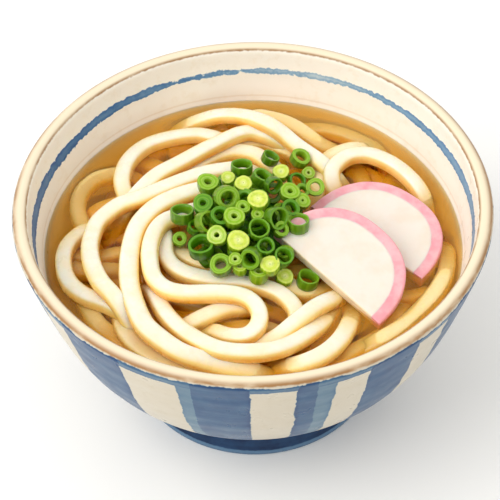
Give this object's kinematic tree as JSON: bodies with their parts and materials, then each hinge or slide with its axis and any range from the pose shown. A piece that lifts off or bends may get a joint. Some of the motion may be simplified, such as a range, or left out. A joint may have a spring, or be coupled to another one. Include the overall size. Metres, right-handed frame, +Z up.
{
  "type": "udon noodle bowl",
  "caption": "Footed round bowl of broth with a heap of thick white wheat noodles, half-round slices of pink-rimmed fish cake and a mound of sliced scallion.",
  "frame": {"origin": "centre of the foot ring's underside, on the surface the bowl stands on", "axes": "+Z up, out of the bowl's mouth; -Y towards the person eating, the fish cake slices lying on the +X side"},
  "size_m": [0.185, 0.185, 0.098],
  "materials": {
    "glaze": "gloss",
    "broth": "gloss",
    "noodle": "satin",
    "fish_cake": "satin",
    "fish_cake_rim": "satin",
    "scallion": "satin"
  },
  "bodies": {
    "root": {"bowl": "glaze", "broth": "broth", "noodle_heap": "noodle", "kamaboko_front_white": "fish_cake", "kamaboko_front_pink": "fish_cake_rim", "kamaboko_back_white": "fish_cake", "kamaboko_back_pink": "fish_cake_rim", "scallion_heap": "scallion"}
  },
  "joints": []
}
